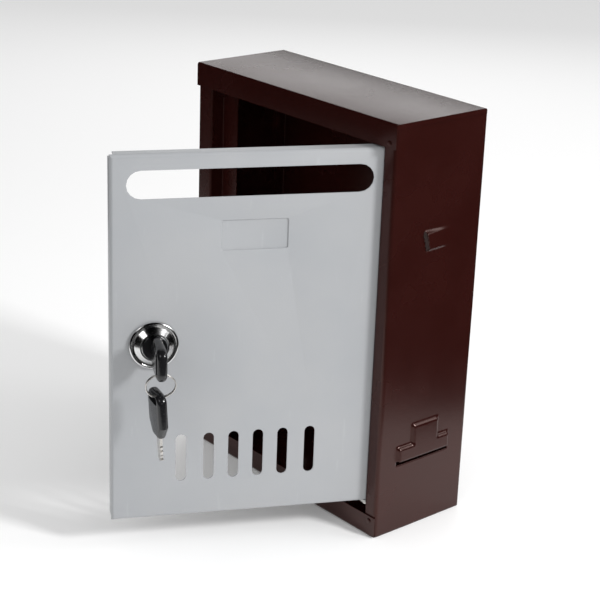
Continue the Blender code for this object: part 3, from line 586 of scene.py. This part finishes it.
def spun(profile):
    """Turns a chain of (radius, height) points a full round about the lock's axis."""
    bm = bmesh.new()
    verts = [bm.verts.new((radius, -height, 0.0)) for radius, height in profile]
    edges = [bm.edges.new(pair) for pair in zip(verts, verts[1:] + verts[:1])]
    bmesh.ops.spin(
        bm,
        geom=verts + edges,
        cent=(0.0, 0.0, 0.0),
        axis=(0.0, 1.0, 0.0),
        angle=2 * math.pi,
        steps=ROUND_STEPS,
        use_merge=True,
    )
    bmesh.ops.remove_doubles(bm, verts=bm.verts, dist=MERGE)
    bmesh.ops.recalc_face_normals(bm, faces=bm.faces)
    return bm


def build_bezel(chrome):
    """The lock's ring: a rounded rim, a groove, and a cone that rises to the bore."""
    rim_middle = (BEZEL_R - RIM_R, RIM_HEIGHT - RIM_R)
    rim = [
        (
            rim_middle[0] + RIM_R * math.cos(math.radians(angle)),
            rim_middle[1] + RIM_R * math.sin(math.radians(angle)),
        )
        for angle in range(0, RIM_TURN_DEG + 1, RIM_STEP_DEG)
    ]
    cone = [
        (GROOVE_R, GROOVE_HEIGHT),
        (CONE_TOP_R + (CONE_TOP_R - BORE_R) / 2, CONE_TOP_HEIGHT - CONE_EASE),
        (CONE_TOP_R, CONE_TOP_HEIGHT),
        (BORE_R + BORE_EASE, CONE_TOP_HEIGHT - BORE_EASE),
        (BORE_R, CONE_TOP_HEIGHT - BORE_DROP),
    ]
    profile = [(BEZEL_R, BEZEL_LIFT)] + rim + cone + [(BORE_R, BEZEL_LIFT)]
    bm = spun(profile)
    bmesh.ops.transform(bm, matrix=lock_place(), verts=bm.verts)
    add_piece("lock_bezel_chromed", bm, "door", chrome, "lock_bezel")


def build_bow(name, node, body, place, plastic):
    """A key's moulded bow: a rounded plate that tapers to its neck, with a long hole for the ring."""
    half, neck = BOW_WIDTH / 2, BOW_NECK / 2
    end, corner = BOW_LENGTH - BOW_CORNER, half - BOW_CORNER
    bm = bmesh.new()
    outline = [(0.0, -neck), (0.0, neck), (BOW_TAPER, half)]
    outline += [(end + BOW_CORNER * math.sin(a), corner + BOW_CORNER * math.cos(a)) for a in QUARTER]
    outline += [(end + BOW_CORNER * math.cos(a), -corner - BOW_CORNER * math.sin(a)) for a in QUARTER]
    outline += [(BOW_TAPER, -half)]
    face = bm.faces.new([bm.verts.new((-BOW_THICK / 2, -out, up)) for out, up in outline])
    made = bmesh.ops.extrude_face_region(bm, geom=[face])
    raised = [item for item in made["geom"] if isinstance(item, bmesh.types.BMVert)]
    bmesh.ops.translate(bm, vec=(BOW_THICK, 0.0, 0.0), verts=raised)
    bmesh.ops.remove_doubles(bm, verts=bm.verts, dist=MERGE)
    bmesh.ops.recalc_face_normals(bm, faces=bm.faces)
    rims = [edge for edge in bm.edges if abs(edge.verts[0].co.x - edge.verts[1].co.x) < MERGE]
    bmesh.ops.bevel(
        bm,
        geom=rims,
        offset=BOW_EDGE,
        offset_type="OFFSET",
        segments=BOW_STEPS,
        profile=0.5,
        affect="EDGES",
        clamp_overlap=False,
        material=-1,
    )
    carve(bm, stadium_cutter(HOLE_LENGTH, HOLE_WIDTH, HOLE_FROM_END - BOW_LENGTH))
    width, deep, tall = BLADE_POCKET
    pocket = bmesh.new()
    bmesh.ops.create_cube(pocket, size=1.0)
    bmesh.ops.scale(pocket, vec=(width, 2 * deep, tall), verts=pocket.verts)
    carve(bm, pocket)
    bmesh.ops.transform(bm, matrix=place, verts=bm.verts)
    bow = add_piece(name, bm, body, plastic, node, BOW_ANGLE_DEG)
    ease_edges(bow, HOLE_EDGE)


def stadium_cutter(length, width, middle):
    """A round-ended bar through the bow's thickness."""
    bm = bmesh.new()
    bmesh.ops.create_circle(bm, cap_ends=True, segments=HOLE_STEPS, radius=width / 2)
    for vert in bm.verts:
        vert.co.x += math.copysign((length - width) / 2, vert.co.x)
    made = bmesh.ops.extrude_face_region(bm, geom=bm.faces[:])
    raised = [item for item in made["geom"] if isinstance(item, bmesh.types.BMVert)]
    through = 3 * BOW_THICK
    bmesh.ops.translate(bm, vec=(0.0, 0.0, through), verts=raised)
    bmesh.ops.translate(bm, vec=(0.0, 0.0, -through / 2), verts=bm.verts)
    bmesh.ops.rotate(bm, matrix=Matrix.Rotation(math.pi / 2, 3, "Y"), verts=bm.verts)
    bmesh.ops.translate(bm, vec=(0.0, middle, 0.0), verts=bm.verts)
    bmesh.ops.recalc_face_normals(bm, faces=bm.faces)
    return bm


def carve(bm, cutter):
    """Cuts one mesh from another with a Boolean that is applied at once."""
    pair = []
    for name, source in (("blank", bm), ("cutter", cutter)):
        mesh = bpy.data.meshes.new(name)
        source.to_mesh(mesh)
        pair.append(bpy.data.objects.new(name, mesh))
        bpy.context.scene.collection.objects.link(pair[-1])
    modifier = pair[0].modifiers.new("cut", "BOOLEAN")
    modifier.operation = "DIFFERENCE"
    modifier.object = pair[1]
    modifier.solver = "EXACT"
    graph = bpy.context.evaluated_depsgraph_get()
    result = bpy.data.meshes.new_from_object(pair[0].evaluated_get(graph))
    bm.clear()
    bm.from_mesh(result)
    bpy.data.meshes.remove(result)
    cutter.free()
    for obj in pair:
        bpy.data.objects.remove(obj)


def build_split_ring(nickel):
    """Nearly two turns of round wire, lying against each other."""
    points = [vert.co for vert in frame["nodes"]["key_ring"].data.vertices]
    middle = sum(points, Vector()) / len(points)
    tilt = Matrix.Rotation(math.radians(RING_TILT_DEG), 4, "X")
    place = Matrix.Translation(middle) @ door_turn() @ tilt
    bm = bmesh.new()
    bmesh.ops.create_circle(bm, cap_ends=True, segments=RING_WIRE_STEPS, radius=RING_WIRE_R)
    start = Matrix.Rotation(math.radians(RING_START_DEG), 4, "Y")
    bmesh.ops.transform(bm, matrix=start @ Matrix.Translation((RING_R, 0.0, 0.0)), verts=bm.verts)
    steps = round(RING_STEPS * RING_TURNS)
    bmesh.ops.translate(bm, vec=(0.0, -RING_LAY * RING_TURNS / 2, 0.0), verts=bm.verts)
    bmesh.ops.spin(
        bm,
        geom=bm.faces[:] + bm.edges[:] + bm.verts[:],
        cent=(0.0, 0.0, 0.0),
        axis=(0.0, 1.0, 0.0),
        dvec=(0.0, RING_LAY * 2 / RING_STEPS, 0.0),
        angle=2 * math.pi * RING_TURNS,
        steps=steps,
    )
    bmesh.ops.recalc_face_normals(bm, faces=bm.faces)
    bmesh.ops.transform(bm, matrix=place, verts=bm.verts)
    add_piece("key_split_ring", bm, "ring", nickel, "key_ring", RING_ANGLE_DEG)


def build_camera():
    """Stands the camera at its angle, distance and roll round the aim point."""
    azimuth = math.radians(CAMERA_AZIMUTH_DEG)
    elevation = math.radians(CAMERA_ELEVATION_DEG)
    back = Vector(
        (
            math.sin(azimuth) * math.cos(elevation),
            -math.cos(azimuth) * math.cos(elevation),
            math.sin(elevation),
        )
    )
    right = Vector((math.cos(azimuth), math.sin(azimuth), 0.0))
    up = back.cross(right)
    stand = Matrix((right, up, back)).transposed().to_4x4()
    roll = Matrix.Rotation(math.radians(CAMERA_ROLL_DEG), 4, "Z")
    data = bpy.data.cameras.new("camera")
    data.lens = LENS
    data.sensor_width = SENSOR
    camera = bpy.data.objects.new("camera", data)
    camera.matrix_world = Matrix.Translation(AIM + CAMERA_DISTANCE * back) @ stand @ roll
    bpy.context.scene.collection.objects.link(camera)
    bpy.context.scene.camera = camera


def add_softbox(name, place, aim, size, power):
    data = bpy.data.lights.new(name, "AREA")
    data.shape = "RECTANGLE"
    data.size, data.size_y = size
    data.energy = power
    light = bpy.data.objects.new(name, data)
    light.location = place
    light.rotation_euler = (Vector(aim) - Vector(place)).to_track_quat("-Z", "Y").to_euler()
    light.visible_camera = False
    bpy.context.scene.collection.objects.link(light)


def add_stage(name, bm, material):
    bmesh.ops.translate(bm, vec=(0.0, 0.0, cad_box[0][2]), verts=bm.verts)
    mesh = bpy.data.meshes.new(name)
    bm.to_mesh(mesh)
    bm.free()
    mesh.materials.append(material)
    stage = bpy.data.objects.new(name, mesh)
    bpy.context.scene.collection.objects.link(stage)
    return stage


def build_studio():
    """A white table under the box, in a wide pale floor that doesn't show in the gloss, and the lights."""
    white = pale_floor()
    table = bmesh.new()
    bmesh.ops.create_circle(table, cap_ends=True, segments=FLOOR_STEPS, radius=TABLE_R)
    bmesh.ops.translate(table, vec=(*TABLE_MIDDLE, 0.0), verts=table.verts)
    add_stage("table_top", table, white)
    wide = bmesh.new()
    bmesh.ops.create_circle(wide, segments=FLOOR_STEPS, radius=TABLE_R)
    made = bmesh.ops.extrude_edge_only(wide, edges=wide.edges)
    outer = [item for item in made["geom"] if isinstance(item, bmesh.types.BMVert)]
    bmesh.ops.scale(wide, vec=(FLOOR_R / TABLE_R, FLOOR_R / TABLE_R, 1.0), verts=outer)
    bmesh.ops.translate(wide, vec=(*TABLE_MIDDLE, 0.0), verts=wide.verts)
    bmesh.ops.recalc_face_normals(wide, faces=wide.faces)
    add_stage("studio_floor", wide, white).visible_glossy = False
    world = bpy.data.worlds.new("studio")
    world.cycles_visibility.glossy = False
    world.use_nodes = True
    background = world.node_tree.nodes["Background"].inputs
    background["Color"].default_value = (1.0, 1.0, 1.0, 1.0)
    background["Strength"].default_value = WORLD_STRENGTH
    bpy.context.scene.world = world
    bpy.context.scene.view_settings.view_transform = "Standard"
    for light in SOFTBOXES:
        add_softbox(*light)


def spare_place():
    """The spare key's own frame, hanging straight down from the ring."""
    tilt = Matrix.Rotation(math.radians(RING_TILT_DEG), 4, "X")
    back = Matrix.Rotation(math.radians(-RING_TILT_DEG), 4, "X")
    yaw = Matrix.Rotation(math.radians(SPARE_YAW_DEG), 4, "Z")
    hang = Matrix.Rotation(-math.pi / 2, 4, "X")
    drop = Matrix.Translation((0.0, 0.0, HOLE_FROM_END - BOW_LENGTH))
    joint = Matrix.Translation(joint_place("spare_key_swing"))
    return joint @ door_turn() @ tilt @ yaw @ back @ drop @ hang


def main():
    build_camera()
    build_studio()
    maroon = powder_coat(
        "maroon_powder_coat", MAROON_DARK, MAROON_LIGHT, MAROON_ROUGHNESS, MAROON_SHEEN
    )
    grey = powder_coat("light_grey_powder_coat", GREY_DARK, GREY_LIGHT, GREY_ROUGHNESS, GREY_SHEEN)
    zinc, nickel, chrome, dark = (plated_steel(*plate) for plate in PLATES)
    plastic = moulded_plastic("black_moulding", MOULDING_TONE, MOULDING_ROUGHNESS)

    for node in ("left_side", "back_panel", "top_cap", "bottom_tray"):
        eased_sheet(f"{node}_painted", node, "housing", maroon, SHEET_EDGE)
    build_right_side(maroon)
    eased_sheet("door_painted", "door_panel", "door", grey, SHEET_EDGE)
    build_bezel(chrome)
    eased_sheet("lock_body_chromed", "lock_body", "door", chrome, TURNED_EDGE)
    # the plug takes the near-black metal colour
    eased_sheet("lock_plug_near_black", "lock_plug", "plug", dark, TURNED_EDGE)
    inserted = lock_place() @ Matrix.Translation((0.0, -KEY_FROM_DOOR, 0.0))
    build_bow("lock_key_grip", "lock_key_bow", "lock_key", inserted, plastic)
    build_bow("spare_key_grip", "spare_key_bow", "spare_key", spare_place(), plastic)
    build_split_ring(nickel)
    kept = {
        zinc: ("upper_hinge_bracket", "lower_hinge_bracket", "upper_hinge_washer", "lower_hinge_washer"),
        nickel: (
            "upper_hinge_pin",
            "lower_hinge_pin",
            "lock_nut",
            "lock_cam",
            "cam_washer",
            "cam_screw",
            "lock_key_blade",
            "spare_key_blade",
        ),
        maroon: ("upper_bracket_rivet", "lower_bracket_rivet"),
    }
    for material, nodes in kept.items():
        for node in nodes:
            mesh = frame["nodes"][node].data
            mesh.materials.clear()
            mesh.materials.append(material)


main()
